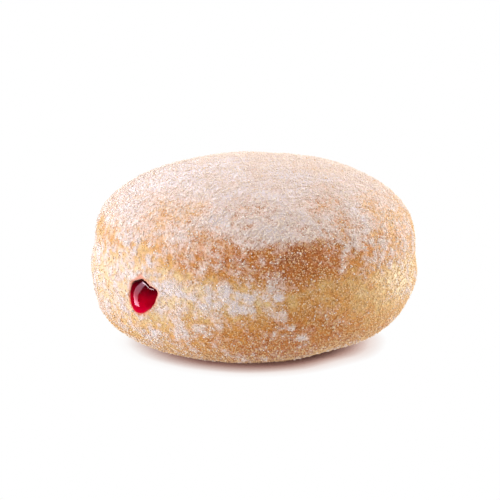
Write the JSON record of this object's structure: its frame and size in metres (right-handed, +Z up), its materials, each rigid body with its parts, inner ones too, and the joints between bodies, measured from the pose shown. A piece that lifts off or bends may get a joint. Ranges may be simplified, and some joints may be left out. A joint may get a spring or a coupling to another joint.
{
  "type": "jelly filled doughnut",
  "caption": "Round fried doughnut without a ring hole, filled with red jelly that shows at the fill hole in its side, dusted with powdered sugar, resting on a flat base.",
  "frame": {"origin": "middle of the flat base that the doughnut rests on", "axes": "+Z up, fill hole with the jelly's mouth facing -Y"},
  "size_m": [0.0902, 0.0912, 0.0511],
  "materials": {
    "dough": "golden fried crust with a pale belt, dusted with powdered sugar",
    "jelly": "wet glossy red jelly",
    "sugar": "dry white powdered sugar, as a dusting over the dough"
  },
  "bodies": {
    "root": {"dough": "dough", "jelly": "jelly"}
  },
  "joints": []
}
